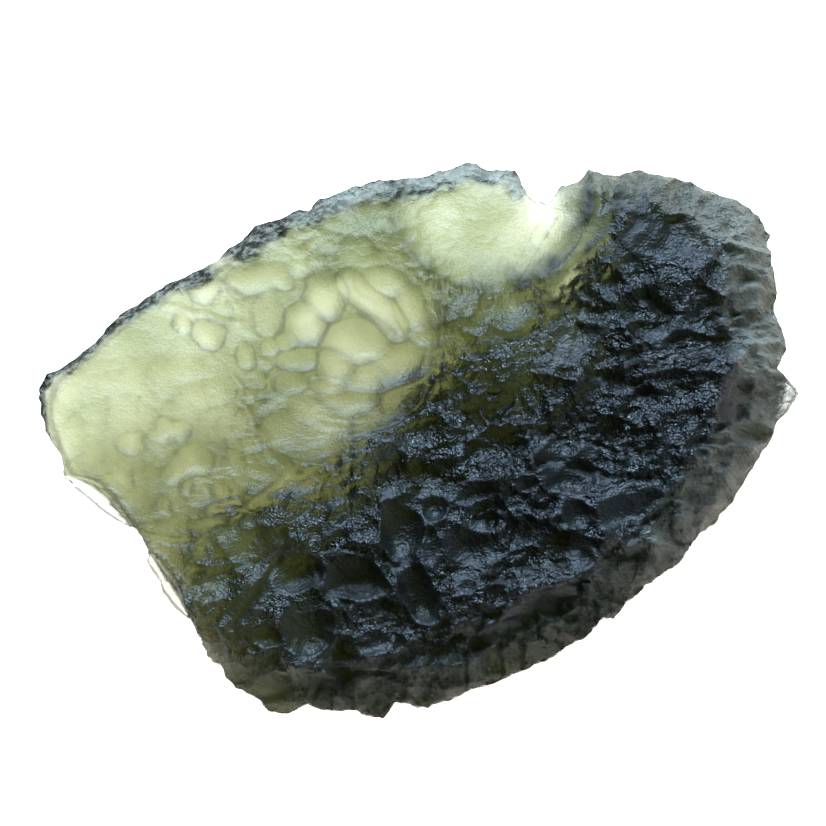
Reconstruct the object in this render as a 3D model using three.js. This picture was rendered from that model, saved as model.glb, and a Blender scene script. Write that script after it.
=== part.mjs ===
import * as THREE from "three";

// A raw moldavite: one piece of natural bottle-green tektite glass, etched all over with pits.
// Millimetres, +X to the blunt right end, +Y to the scooped long edge, +Z up, resting on z = 0.
// A thin wing runs out to the left and a hollow scoop thins the upper edge; the rest is thick.

// Driving sizes
const LENGTH = 34.2;
const BREADTH = 25.0;
const CROWN_HEIGHT = 8.25;
const THINNEST = 0.4;
const TOP_CELLS = 56;
const WALL_ROWS = 3;
const WALL_BULGE = 0.16;

// How the crown falls away from its highest place
const CROWN_X = 6.0;
const CROWN_FALL_LEFT = 0.0046;
const CROWN_FALL_RIGHT = 0.0035;
const CROWN_FALL_ACROSS = 0.0062;

// The silhouette in plan, clockwise from the left tip: every bay and tooth of the broken edge
const OUTLINE = [
  [-17.0, 1.61], [-17.09, 2.3], [-16.73, 3.02], [-16.23, 3.23], [-15.32, 3.75], [-14.55, 4.34],
  [-13.95, 5.02], [-13.05, 5.84], [-12.14, 6.43], [-11.14, 7.11], [-9.86, 7.61], [-8.95, 8.07],
  [-8.55, 8.55], [-7.59, 9.16], [-7.32, 9.59], [-6.45, 9.93], [-5.55, 10.27], [-4.86, 10.34],
  [-4.41, 10.77], [-3.5, 11.07], [-2.73, 11.45], [-1.68, 11.7], [-1.0, 11.61], [-0.68, 11.82],
  [0.36, 12.02], [1.27, 12.25], [2.27, 12.52], [2.73, 12.52], [3.18, 12.25], [4.45, 12.25],
  [4.64, 12.02], [4.73, 11.61], [4.95, 11.16], [5.27, 10.66], [5.82, 10.57], [6.18, 10.98],
  [6.41, 11.39], [7.18, 11.66], [7.5, 11.84], [7.68, 12.16], [8.55, 12.07], [9.14, 12.0],
  [10.05, 12.3], [10.82, 12.11], [11.59, 12.05], [12.86, 11.61], [13.68, 11.2], [14.59, 10.89],
  [15.59, 10.32], [15.86, 9.66], [16.18, 9.52], [15.95, 9.07], [16.09, 8.2], [16.36, 6.84],
  [16.14, 5.93], [16.5, 5.25], [16.82, 4.2], [16.27, 3.3], [16.64, 2.89], [17.09, 2.16],
  [16.82, 1.57], [16.27, 0.93], [15.95, 0.02], [15.32, -0.93], [14.82, -1.7], [14.23, -2.8],
  [13.64, -3.3], [13.41, -3.75], [12.86, -4.07], [12.41, -4.61], [11.95, -5.3], [11.05, -6.11],
  [10.36, -6.52], [10.05, -6.98], [9.55, -7.16], [8.86, -7.98], [8.32, -7.93], [7.91, -8.66],
  [7.05, -9.07], [6.14, -9.7], [5.0, -10.16], [4.45, -10.57], [3.41, -10.89], [2.64, -11.2],
  [1.73, -11.52], [0.5, -12.07], [-0.32, -11.89], [-1.0, -11.84], [-1.55, -12.52], [-2.41, -12.39],
  [-2.73, -12.16], [-4.18, -12.11], [-4.95, -11.93], [-5.86, -12.27], [-6.68, -12.25],
  [-7.45, -11.43], [-8.18, -11.11], [-8.86, -10.2], [-9.41, -9.66], [-9.73, -8.84],
  [-10.32, -8.02], [-10.86, -7.48], [-11.36, -6.8], [-11.55, -6.25], [-12.14, -5.43],
  [-12.09, -4.93], [-12.41, -4.34], [-12.68, -3.93], [-13.5, -3.52], [-14.41, -2.89],
  [-15.32, -2.11], [-15.77, -1.7], [-16.14, -0.52], [-16.68, 0.48],
];

// Thickness of the glass at places over the plan: [x, y, thickness]
const THICKNESS = [
  [-16.4, 1.8, 1.6], [-13.0, 1.8, 1.8], [-9.9, 6.4, 1.7], [-9.9, 1.8, 2.0], [-10.3, -2.7, 2.6],
  [-11.3, -5.0, 3.2], [-9.5, -7.4, 5.0], [-8.0, -4.5, 4.3], [-5.4, 0.0, 2.5], [-7.2, -1.8, 2.9],
  [-5.4, -3.7, 5.4], [-4.0, -1.8, 4.4], [-2.9, 3.2, 1.9], [-5.4, 6.4, 1.9], [-1.3, 6.8, 2.0],
  [0.5, 4.6, 2.7], [1.0, 9.6, 1.5], [3.8, 10.0, 1.2], [5.7, 10.2, 0.8], [4.7, 7.8, 1.9],
  [2.4, 5.5, 4.0], [4.7, 5.0, 5.4], [6.4, 7.7, 4.4], [8.1, 10.9, 5.0], [9.3, 10.5, 6.4],
  [6.5, 4.6, 6.6], [3.8, 2.7, 6.8], [2.9, 0.9, 7.6], [1.0, -0.4, 7.8], [-0.8, -1.3, 6.8],
  [8.4, 6.4, 8.6], [10.6, 6.4, 8.9], [8.4, 0.9, 9.0], [10.6, 9.0, 8.4], [12.8, 8.6, 7.6],
  [12.8, 1.8, 8.4], [8.4, -2.7, 9.0], [3.8, -2.7, 9.0], [0.6, -5.0, 8.8], [-3.0, -5.9, 8.6],
  [-5.4, -8.2, 6.8], [-0.8, -9.0, 7.2], [-7.6, -9.5, 5.6], [3.8, -8.2, 7.4], [6.0, -1.0, 9.1],
];

// The rim at bearings round the plan, anticlockwise from +X:
// [bearing, width of the falling band, its fall, how rounded it is, height of the edge wall]
const RIM = [
  [-173, 0.3, 0.35, 1.2, 1.1], [-160, 0.3, 0.35, 1.2, 1.5], [-150, 0.3, 0.4, 1.2, 1.9],
  [-138, 0.8, 1.0, 1.3, 2.2], [-128, 1.5, 1.8, 1.5, 2.2], [-118, 2.4, 2.6, 1.6, 2.0],
  [-100, 2.4, 2.8, 1.6, 1.8], [-78, 2.6, 3.0, 1.5, 2.0], [-58, 2.8, 3.1, 1.5, 2.2],
  [-40, 2.8, 3.0, 1.6, 2.2], [-20, 2.6, 3.0, 1.7, 2.2], [0, 3.2, 3.3, 1.8, 2.0],
  [15, 3.2, 3.3, 1.8, 1.9], [30, 2.9, 3.0, 1.8, 2.0], [42, 1.9, 2.2, 1.6, 2.0],
  [54, 0.9, 1.4, 1.2, 1.8], [61, 0.8, 0.4, 1.2, 0.5], [69, 0.7, 0.8, 1.1, 0.9],
  [88, 0.8, 1.0, 1.1, 1.0], [112, 0.8, 1.1, 1.1, 1.0], [134, 0.7, 1.1, 1.1, 1.0],
  [158, 0.6, 0.9, 1.1, 1.0], [174, 0.5, 0.7, 1.2, 1.0],
];

// Where the edge has flaked away to a thin clear ledge, outside these broken lines
const FLAKE_THICKNESS = 0.45;
const FLAKES = [
  [[-15.9, -1.62], [-15.09, -1.66], [-14.41, -1.84], [-13.86, -2.3], [-13.27, -2.98], [-12.68, -3.8]],
  [[-11.86, -5.02], [-11.14, -5.8], [-10.68, -6.48], [-10.41, -7.02], [-10.2, -7.9]],
];

// The two big hollows: the open basin left of the middle and the scoop in the upper edge
const BASIN = { x: -2.95, y: 4.34, a: 4.1, b: 4.2, depth: 0.75, openTowards: 140 };
const SCOOP = { x: 3.23, y: 10.7, a: 4.45, b: 4.05, depth: 1.5 };

// Single etch pits: [x, y, half length, half breadth, turn in degrees, depth]
const PITS = [
  // the rosette in the basin
  [-4.14, 6.39, 0.82, 1.09, 0, 0.36], [-5.18, 5.43, 0.91, 1.14, 0, 0.34],
  [-3.05, 4.2, 1.64, 1.0, 0, 0.38], [-2.3, 2.75, 1.15, 0.62, -45, 0.26],
  [-0.86, 3.39, 1.36, 0.77, 20, 0.36], [-5.77, 4.3, 0.5, 0.5, 0, 0.22],
  [-5.32, 3.61, 0.82, 0.64, 0, 0.28], [-5.27, 2.57, 0.6, 0.6, 0, 0.24],
  [-3.95, 2.75, 0.86, 0.55, 0, 0.26], [-3.05, 1.61, 1.64, 0.68, 5, 0.32],
  [-0.95, 6.93, 0.73, 0.95, 0, 0.28], [-0.18, 5.66, 0.64, 0.91, 0, 0.28],
  [0.59, 6.3, 0.59, 1.23, 0, 0.3], [0.32, 4.57, 0.73, 0.55, 0, 0.26],
  // the thin upper left
  [-7.05, 7.2, 1.64, 1.0, 15, 0.3], [-3.5, 9.66, 1.27, 0.73, 0, 0.28],
  [-9.36, 6.7, 0.75, 0.62, 0, 0.24], [-9.23, 4.66, 0.91, 0.82, 0, 0.28],
  [-10.5, 5.11, 0.55, 0.68, 0, 0.2], [-6.73, 5.25, 0.64, 0.95, 0, 0.24],
  [-7.45, 3.61, 0.6, 0.6, 0, 0.2],
  // the left wing
  [-11.0, 0.39, 0.95, 0.7, 0, 0.22], [-12.82, -0.2, 1.0, 0.64, 0, 0.2],
  [-10.09, -1.11, 1.82, 0.91, 20, 0.28], [-4.5, -0.2, 1.85, 1.5, 0, 0.5],
  [-7.59, -4.52, 1.6, 0.92, 20, 0.45], [-9.3, -6.7, 0.8, 1.0, 0, 0.3],
  [-3.77, -2.7, 0.62, 0.62, 0, 0.3], [-2.45, -2.93, 0.6, 0.6, 0, 0.26],
  [-4.68, -2.25, 0.5, 0.5, 0, 0.22],
  // the thick lower part
  [-2.95, -6.34, 1.64, 0.86, -8, 0.55], [-5.55, -6.11, 1.36, 0.82, 8, 0.5],
  [-1.14, -4.07, 0.75, 2.05, 0, 0.65], [0.0, -6.8, 0.8, 1.75, 5, 0.6],
  [0.55, -2.35, 0.95, 0.85, 0, 0.42], [2.27, -2.35, 1.1, 0.58, 15, 0.4],
  [2.2, -4.75, 1.2, 1.25, 0, 0.45], [-4.4, -8.4, 1.6, 1.35, 0, 0.6],
  [-6.9, -9.3, 0.9, 0.8, 0, 0.35], [-6.7, -11.1, 1.5, 0.85, 0, 0.5],
  [-4.2, -11.1, 0.6, 0.8, 0, 0.35], [-1.45, -11.3, 0.75, 0.6, 0, 0.4],
  [6.86, -1.8, 1.55, 0.9, 0, 0.45], [5.95, -0.57, 0.78, 0.55, 0, 0.28],
  [7.4, -0.66, 0.78, 0.55, 0, 0.28], [6.95, -3.4, 0.8, 0.8, 0, 0.36],
  [7.27, -5.07, 0.6, 1.0, 0, 0.4], [5.14, -7.7, 2.9, 0.85, 25, 0.6],
  [9.45, -2.95, 1.8, 0.95, 20, 0.4],
  // the upper right
  [10.8, 8.98, 1.45, 0.9, 0, 0.4], [10.6, 6.02, 0.7, 0.4, -30, 0.34],
  [12.2, 8.1, 1.0, 0.5, 0, 0.3], [11.7, 4.8, 1.3, 0.5, 5, 0.34],
  [10.5, 4.25, 0.65, 0.65, 0, 0.3], [13.7, 1.16, 0.7, 0.7, 0, 0.3],
  [15.1, 6.4, 0.8, 0.6, 0, 0.24], [8.1, 10.9, 0.6, 1.0, -10, 0.4],
  [9.6, 10.7, 0.66, 1.14, -10, 0.4], [4.0, 5.4, 1.1, 1.0, 0, 0.3],
  [6.8, 4.66, 0.7, 0.7, 0, 0.34],
];

// Grooves: a bowl section swept along a line: [half breadth, depth, points of the line]
const GROOVES = [
  [0.66, 0.36, [[-3.05, 6.84], [-2.36, 6.39], [-1.59, 5.7], [-1.0, 5.02], [-0.86, 4.57]]],
  [0.64, 0.4, [[8.2, 9.66], [7.4, 8.9], [6.5, 8.1], [5.8, 7.3]]],
  [0.5, 0.32, [[7.95, 4.9], [7.0, 3.9], [5.5, 3.1]]],
  [0.55, 0.34, [[-6.0, -4.75], [-8.27, -8.39]]],
  [0.5, 0.36, [[0.45, -3.6], [0.45, -5.66]]],
];

// Flow-drawn etch bowls that cover the whole skin: lattice steps, grain direction and depth
const GRAIN_DEGREES = 12;
const BOWL_STEP_ALONG = 1.75;
const BOWL_STEP_ACROSS = 1.05;
const BOWL_DEPTH_THICK = 0.45;
const BOWL_DEPTH_THIN = 0.14;

// Pits of the underside, laid in a spiral from the middle outwards
const UNDER_PITS = 90;
const UNDER_PIT_DEPTH = 0.36;
const UNDER_SPREAD = 1.8;
const GOLDEN_DEGREES = 137.508;

const rad = THREE.MathUtils.degToRad;
const clamp = THREE.MathUtils.clamp;
const lerp = THREE.MathUtils.lerp;
const smooth = THREE.MathUtils.smoothstep;

// A repeatable number from 0 to 1 for a whole number
function scatter(n) {
  const s = Math.sin(n * 12.9898 + 4.1414) * 43758.5453;
  return s - Math.floor(s);
}

// Distance from (x, y) to the piece of line from a to b
function distanceToPiece(x, y, a, b) {
  const ux = b[0] - a[0];
  const uy = b[1] - a[1];
  const t = clamp(((x - a[0]) * ux + (y - a[1]) * uy) / (ux * ux + uy * uy), 0, 1);
  return Math.hypot(x - a[0] - t * ux, y - a[1] - t * uy);
}

function distanceToLine(x, y, points) {
  let least = Infinity;
  for (let i = 1; i < points.length; i++) {
    least = Math.min(least, distanceToPiece(x, y, points[i - 1], points[i]));
  }
  return least;
}

const ring = [...OUTLINE, OUTLINE[0]];

// Lengths along the outline, so that points can be set evenly round it
const reach = [0];
for (let i = 1; i < ring.length; i++) {
  const step = Math.hypot(ring[i][0] - ring[i - 1][0], ring[i][1] - ring[i - 1][1]);
  reach.push(reach[i - 1] + step);
}

function outlinePoint(share) {
  const along = (share - Math.floor(share)) * reach[reach.length - 1];
  let i = 1;
  while (reach[i] < along) i++;
  const t = (along - reach[i - 1]) / (reach[i] - reach[i - 1]);
  return [lerp(ring[i - 1][0], ring[i][0], t), lerp(ring[i - 1][1], ring[i][1], t)];
}

// The rim's sizes at a bearing, from the stations on either side of it
function rimAt(x, y) {
  const bearing = THREE.MathUtils.radToDeg(Math.atan2(y, x));
  const last = RIM.length - 1;
  let i = RIM.findIndex((station) => station[0] > bearing);
  const before = i > 0 ? RIM[i - 1] : RIM[last];
  if (i < 0) i = 0;
  const after = RIM[i];
  const span = (after[0] - before[0] + 360) % 360;
  const t = ((bearing - before[0] + 360) % 360) / span;
  return {
    width: lerp(before[1], after[1], t),
    fall: lerp(before[2], after[2], t),
    roundness: lerp(before[3], after[3], t),
    wall: lerp(before[4], after[4], t),
  };
}

function thicknessAt(x, y) {
  let sum = 0;
  let weights = 0;
  for (const [px, py, thickness] of THICKNESS) {
    const apart = (x - px) ** 2 + (y - py) ** 2 + 0.5;
    const weight = 1 / (apart * apart);
    sum += weight * thickness;
    weights += weight;
  }
  return sum / weights;
}

// How far (x, y) lies inside an ellipse: 1 at its middle, 0 at its edge, negative outside
function bowl(x, y, cx, cy, a, b, degrees) {
  const c = Math.cos(rad(degrees));
  const s = Math.sin(rad(degrees));
  const along = ((x - cx) * c + (y - cy) * s) / a;
  const across = ((y - cy) * c - (x - cx) * s) / b;
  return 1 - along * along - across * across;
}

function hollows(x, y) {
  const inBasin = clamp(bowl(x, y, BASIN.x, BASIN.y, BASIN.a, BASIN.b, 0), 0, 1);
  const open = rad(BASIN.openTowards);
  const outward = ((x - BASIN.x) * Math.cos(open) + (y - BASIN.y) * Math.sin(open)) / BASIN.a;
  const basin = BASIN.depth * (1 - (1 - inBasin) ** 2) * (1 - smooth(outward, -0.2, 0.9));
  const scoop = SCOOP.depth * Math.max(0, bowl(x, y, SCOOP.x, SCOOP.y, SCOOP.a, SCOOP.b, 0));
  return basin + scoop;
}

// The even scatter of bowls: each lattice cell holds one, moved and sized by its own number
function etchBowls(x, y) {
  const c = Math.cos(rad(GRAIN_DEGREES));
  const s = Math.sin(rad(GRAIN_DEGREES));
  const along = (x * c + y * s) / BOWL_STEP_ALONG;
  const across = (y * c - x * s) / BOWL_STEP_ACROSS;
  let deepest = -1;
  for (let i = Math.floor(along) - 1; i <= Math.floor(along) + 1; i++) {
    for (let j = Math.floor(across) - 1; j <= Math.floor(across) + 1; j++) {
      const n = i * 57 + j * 131;
      const dx = along - i - 0.15 - 0.7 * scatter(n);
      const dy = across - j - 0.15 - 0.7 * scatter(n + 0.37);
      const size = 0.62 + 0.5 * scatter(n + 0.71);
      deepest = Math.max(deepest, size * (1 - (dx * dx + dy * dy) / (size * size)));
    }
  }
  return deepest;
}

function pitDepth(x, y) {
  let deepest = 0;
  for (const [cx, cy, a, b, degrees, depth] of PITS) {
    deepest = Math.max(deepest, depth * bowl(x, y, cx, cy, a, b, degrees));
  }
  for (const [half, depth, line] of GROOVES) {
    deepest = Math.max(deepest, depth * (1 - (distanceToLine(x, y, line) / half) ** 2));
  }
  return deepest;
}

function underPitDepth(x, y) {
  let deepest = 0;
  for (let k = 1; k <= UNDER_PITS; k++) {
    const out = UNDER_SPREAD * Math.sqrt(k);
    const turn = rad(k * GOLDEN_DEGREES);
    const size = 1.1 + 0.9 * scatter(k);
    const cx = out * Math.cos(turn);
    const cy = 0.75 * out * Math.sin(turn);
    deepest = Math.max(deepest, UNDER_PIT_DEPTH * size * bowl(x, y, cx, cy, size * 1.3, size, 12));
  }
  return deepest;
}

// True where (x, y) lies on the flaked side of a broken line
function onFlake(x, y) {
  for (const line of FLAKES) {
    for (let i = 1; i < line.length; i++) {
      const [ax, ay] = line[i - 1];
      const [bx, by] = line[i];
      const t = ((x - ax) * (bx - ax) + (y - ay) * (by - ay)) / ((bx - ax) ** 2 + (by - ay) ** 2);
      const side = (bx - ax) * (y - ay) - (by - ay) * (x - ax);
      if (t >= 0 && t <= 1 && side < 0 && distanceToLine(x, y, line) < 1.4) return true;
    }
  }
  return false;
}

// Heights of the top and the underside over one place in plan
function heightsAt(x, y) {
  const toEdge = distanceToLine(x, y, ring);
  const rim = rimAt(x, y);
  const leftwards = x < CROWN_X;
  const crownFall = (leftwards ? CROWN_FALL_LEFT : CROWN_FALL_RIGHT) * (x - CROWN_X) ** 2;
  const crown = CROWN_HEIGHT - crownFall - CROWN_FALL_ACROSS * y * y;
  const nearEdge = 1 - clamp(toEdge / rim.width, 0, 1);
  const top = crown - hollows(x, y) - rim.fall * nearEdge ** rim.roundness;
  const full = thicknessAt(x, y);
  const taper = (1 - clamp(toEdge / (0.6 + 0.35 * full), 0, 1)) ** 2;
  const flake = onFlake(x, y);
  const thickness = flake ? rim.wall : lerp(full, rim.wall, taper);
  const bottomPits = underPitDepth(x, y) * clamp((full - 1) / 3, 0.15, 1);
  const bottom = Math.max(0, top - thickness + bottomPits * (1 - taper));
  const bowlDepth = lerp(BOWL_DEPTH_THIN, BOWL_DEPTH_THICK, smooth(full, 2.5, 5.5));
  const etched = Math.max(pitDepth(x, y), bowlDepth * etchBowls(x, y));
  const skin = flake ? bottom + FLAKE_THICKNESS : top - etched;
  return { top: Math.max(skin, bottom + Math.min(THINNEST, rim.wall)), bottom };
}

// A square grid of cells drawn out to fill the outline, ring by ring from the middle
function planPoint(i, j, cells) {
  const u = (2 * i) / cells - 1;
  const v = (2 * j) / cells - 1;
  const out = Math.max(Math.abs(u), Math.abs(v));
  if (out === 0) return [0, 0];
  const a = u / out;
  const b = v / out;
  let share;
  if (a >= 1 && b < 1) share = (b + 1) / 8;
  else if (b >= 1 && a > -1) share = 0.25 + (1 - a) / 8;
  else if (a <= -1 && b > -1) share = 0.5 + (1 - b) / 8;
  else share = 0.75 + (a + 1) / 8;
  const [x, y] = outlinePoint(0.6 - share);
  return [x * out, y * out];
}

const positions = [];
const triangles = [];

function addPoint(x, y, z) {
  positions.push(x, y, z);
  return positions.length / 3 - 1;
}

function heightDifference(p, q) {
  return Math.abs(positions[3 * p + 2] - positions[3 * q + 2]);
}

// Splits a four-cornered cell along the diagonal that bends the surface less
function addCell(p, q, r, s) {
  if (heightDifference(p, r) <= heightDifference(q, s)) triangles.push(p, q, r, p, r, s);
  else triangles.push(q, r, s, q, s, p);
}

// One skin of the stone as a grid; returns its points and its border, anticlockwise in plan
function addSkin(cells, isTop) {
  const points = [];
  for (let j = 0; j <= cells; j++) {
    for (let i = 0; i <= cells; i++) {
      const onBorder = i === 0 || j === 0 || i === cells || j === cells;
      const [x, y] = planPoint(i, j, cells);
      const inset = onBorder ? 1 - WALL_BULGE / Math.hypot(x, y) : 1;
      const heights = heightsAt(x * inset, y * inset);
      points.push(addPoint(x * inset, y * inset, isTop ? heights.top : heights.bottom));
    }
  }
  const at = (i, j) => points[j * (cells + 1) + i];
  for (let j = 0; j < cells; j++) {
    for (let i = 0; i < cells; i++) {
      const cell = [at(i, j), at(i + 1, j), at(i + 1, j + 1), at(i, j + 1)];
      if (isTop) addCell(...cell);
      else addCell(...cell.reverse());
    }
  }
  const border = [];
  for (let i = 0; i < cells; i++) border.push(at(i, 0));
  for (let j = 0; j < cells; j++) border.push(at(cells, j));
  for (let i = cells; i > 0; i--) border.push(at(i, cells));
  for (let j = cells; j > 0; j--) border.push(at(0, j));
  return border;
}

const topBorder = addSkin(TOP_CELLS, true);
const bottomBorder = addSkin(TOP_CELLS / 2, false);

// The edge wall, bulging a little between the two skins
let upper = topBorder;
for (let row = 1; row < WALL_ROWS; row++) {
  const down = row / WALL_ROWS;
  const lower = topBorder.map((point, i) => {
    const under = bottomBorder[Math.floor(i / 2)];
    const next = bottomBorder[Math.floor((i + 1) / 2) % bottomBorder.length];
    const bottomZ = (positions[3 * under + 2] + positions[3 * next + 2]) / 2;
    const x = positions[3 * point];
    const y = positions[3 * point + 1];
    const out = 1 + (WALL_BULGE * Math.sin(Math.PI * down)) / Math.hypot(x, y);
    return addPoint(x * out, y * out, lerp(positions[3 * point + 2], bottomZ, down));
  });
  for (let i = 0; i < upper.length; i++) {
    const j = (i + 1) % upper.length;
    addCell(upper[i], lower[i], lower[j], upper[j]);
  }
  upper = lower;
}
for (let i = 0; i < bottomBorder.length; i++) {
  const j = (i + 1) % bottomBorder.length;
  const first = upper[2 * i];
  const middle = upper[2 * i + 1];
  const last = upper[(2 * i + 2) % upper.length];
  triangles.push(first, bottomBorder[i], middle);
  triangles.push(middle, bottomBorder[i], bottomBorder[j]);
  triangles.push(middle, bottomBorder[j], last);
}

const geometry = new THREE.BufferGeometry();
geometry.setAttribute("position", new THREE.Float32BufferAttribute(positions, 3));
geometry.setIndex(triangles);

// Bring the stone to its overall length and breadth, centred in plan and standing on z = 0
geometry.computeBoundingBox();
const box = geometry.boundingBox;
const size = box.getSize(new THREE.Vector3());
const middle = box.getCenter(new THREE.Vector3());
geometry.translate(-middle.x, -middle.y, -box.min.z);
geometry.scale(LENGTH / size.x, BREADTH / size.y, 1);
geometry.computeVertexNormals();

const glass = new THREE.MeshStandardMaterial({ color: 0x4d5a26, roughness: 0.35, metalness: 0 });
glass.name = "moldavite_glass";
const stone = new THREE.Mesh(geometry, glass);
stone.name = "moldavite";

const part = new THREE.Group();
part.add(stone);
export default part;
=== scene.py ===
import math

import bmesh
import bpy
import numpy as np
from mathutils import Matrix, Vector


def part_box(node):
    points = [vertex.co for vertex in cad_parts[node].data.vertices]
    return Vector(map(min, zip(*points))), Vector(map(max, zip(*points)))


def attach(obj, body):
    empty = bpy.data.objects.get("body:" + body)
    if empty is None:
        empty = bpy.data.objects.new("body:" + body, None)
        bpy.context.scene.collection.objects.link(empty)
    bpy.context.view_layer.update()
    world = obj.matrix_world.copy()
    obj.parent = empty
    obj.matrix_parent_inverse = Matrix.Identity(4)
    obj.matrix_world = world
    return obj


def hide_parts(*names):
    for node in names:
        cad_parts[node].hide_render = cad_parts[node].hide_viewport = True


# A raw moldavite: one piece of natural green glass, thin and see-through on the left and along
# the upper edge, thick and nearly black on the right. Plan sizes are in millimetres, +X to the
# blunt right end, +Y to the long edge with the scoop, heights above the sheet it lies on.

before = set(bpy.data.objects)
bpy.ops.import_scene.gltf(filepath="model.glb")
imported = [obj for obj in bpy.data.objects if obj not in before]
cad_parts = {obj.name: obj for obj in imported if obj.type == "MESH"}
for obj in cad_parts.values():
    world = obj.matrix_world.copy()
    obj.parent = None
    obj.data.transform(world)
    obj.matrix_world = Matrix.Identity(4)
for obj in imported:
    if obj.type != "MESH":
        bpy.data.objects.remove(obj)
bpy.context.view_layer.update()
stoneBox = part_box("moldavite")

mm = 0.001

stone = {
    "topCells": 260,  # cells along each side of the upper skin's grid
    "underCells": 130,
    "wallRows": 7,
    "wallBulge": 0.16,
    "thinnest": 0.3,
    "etchLean": 0.3,  # the etching cuts nearly upright, so that the skin never folds over
    "flakeThickness": 0.5,
    "flakeEdge": 0.05,  # thickness at its outer edge
    "flakeReach": 1.4,
    "flakeEtch": 0.25,  # share of the etching on it
    "crownHeight": 8.25,
    "crownX": 6.0,
    "crownFallLeft": 0.0046,
    "crownFallRight": 0.0035,
    "crownFallAcross": 0.0062,
    "placeBlend": 1.5,  # mm2, how softly the thickness goes from place to place
    "leastFull": 0.8,
    "taperWidth": 0.6,  # how far in from the edge the glass has thinned, and how much that grows
    "taperGrowth": 0.35,  # with its thickness
    "spareShare": 0.6,  # how much of the glass the etching may take
    "meanReach": 13.0,  # from the middle to the edge
    "gridTurn": 0.655,  # sets where the grid's corners meet the outline
    "edgeCrumble": 0.09,  # how far the broken edge wanders from its drawn line
}

# silhouette in plan, clockwise from the left tip
outline = [
    (-17.0, 1.61), (-17.09, 2.3), (-16.73, 3.02), (-16.23, 3.23), (-15.32, 3.75), (-14.55, 4.34),
    (-13.95, 5.02), (-13.05, 5.84), (-12.14, 6.43), (-11.14, 7.11), (-9.86, 7.61), (-8.95, 8.07),
    (-8.55, 8.55), (-7.59, 9.16), (-7.32, 9.59), (-6.45, 9.93), (-5.55, 10.27), (-4.86, 10.34),
    (-4.41, 10.77), (-3.5, 11.07), (-2.73, 11.45), (-1.68, 11.7), (-1.0, 11.61), (-0.68, 11.82),
    (0.36, 12.02), (1.27, 12.25), (2.27, 12.52), (2.73, 12.52), (3.18, 12.25), (4.45, 12.25), (4.64, 12.02),
    (4.73, 11.61), (4.95, 11.16), (5.27, 10.66), (5.82, 10.57), (6.18, 10.98), (6.41, 11.39), (7.18, 11.66),
    (7.5, 11.84), (7.68, 12.16), (8.55, 12.07), (9.14, 12.0), (10.05, 12.3), (10.82, 12.11), (11.59, 12.05),
    (12.86, 11.61), (13.68, 11.2), (14.59, 10.89), (15.59, 10.32), (15.86, 9.66), (16.18, 9.52),
    (15.95, 9.07), (16.09, 8.2), (16.36, 6.84), (16.14, 5.93), (16.5, 5.25), (16.82, 4.2), (16.27, 3.3),
    (16.64, 2.89), (17.09, 2.16), (16.82, 1.57), (16.27, 0.93), (15.95, 0.02), (15.32, -0.93),
    (14.82, -1.7), (14.23, -2.8), (13.64, -3.3), (13.41, -3.75), (12.86, -4.07), (12.41, -4.61),
    (11.95, -5.3), (11.05, -6.11), (10.36, -6.52), (10.05, -6.98), (9.55, -7.16), (8.86, -7.98),
    (8.32, -7.93), (7.91, -8.66), (7.05, -9.07), (6.14, -9.7), (5.0, -10.16), (4.45, -10.57),
    (3.41, -10.89), (2.64, -11.2), (1.73, -11.52), (0.5, -12.07), (-0.32, -11.89), (-1.0, -11.84),
    (-1.55, -12.52), (-2.41, -12.39), (-2.73, -12.16), (-4.18, -12.11), (-4.95, -11.93), (-5.86, -12.27),
    (-6.68, -12.25), (-7.45, -11.43), (-8.18, -11.11), (-8.86, -10.2), (-9.41, -9.66), (-9.73, -8.84),
    (-10.32, -8.02), (-10.86, -7.48), (-11.36, -6.8), (-11.55, -6.25), (-12.14, -5.43), (-12.09, -4.93),
    (-12.41, -4.34), (-12.68, -3.93), (-13.5, -3.52), (-14.41, -2.89), (-15.32, -2.11), (-15.77, -1.7),
    (-16.14, -0.52), (-16.68, 0.48),
]

# thickness of the glass at places over the plan, before the basin and the scoop are taken out of
# its upper side: x, y, thickness
thicknessPlaces = [
    (-16.4, 1.8, 1.4), (-13.0, 1.8, 1.5), (-9.9, 6.4, 1.4), (-9.9, 1.8, 1.6), (-10.3, -2.7, 2.0),
    (-11.3, -5.0, 2.6), (-9.5, -7.4, 5.0), (-8.0, -4.5, 4.7), (-5.4, 0.0, 2.8), (-7.2, -1.8, 2.6),
    (-5.4, -3.7, 5.3), (-4.0, -1.8, 3.7), (-3.4, 0.3, 2.7), (-2.9, 3.2, 2.8), (-5.4, 6.4, 2.0),
    (-1.3, 6.8, 2.5), (0.5, 4.6, 3.1), (1.0, 9.6, 2.8), (3.6, 10.0, 2.9), (5.3, 10.0, 2.0), (4.6, 7.8, 2.9),
    (6.6, 9.6, 1.4), (6.0, 8.7, 2.0), (2.4, 5.5, 3.4), (4.7, 5.0, 4.2), (7.9, 6.9, 5.4), (8.2, 10.9, 2.8),
    (7.4, 8.9, 2.6), (6.3, 7.8, 2.6), (9.6, 10.4, 6.4), (6.5, 4.6, 6.4), (3.8, 2.7, 5.7), (2.9, 0.9, 7.2),
    (1.0, -0.4, 7.4), (-0.8, -1.3, 6.6), (8.4, 6.4, 8.6), (10.6, 6.4, 8.9), (8.4, 0.9, 9.0),
    (10.6, 9.0, 8.4), (12.8, 8.6, 7.6), (12.8, 1.8, 8.4), (8.4, -2.7, 9.0), (3.8, -2.7, 9.0),
    (0.6, -5.0, 8.8), (-3.0, -5.9, 8.6), (-5.4, -8.2, 6.8), (-0.8, -9.0, 7.6), (-7.6, -9.5, 5.6),
    (3.8, -8.2, 7.8), (6.0, -1.0, 9.1),
]

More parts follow.
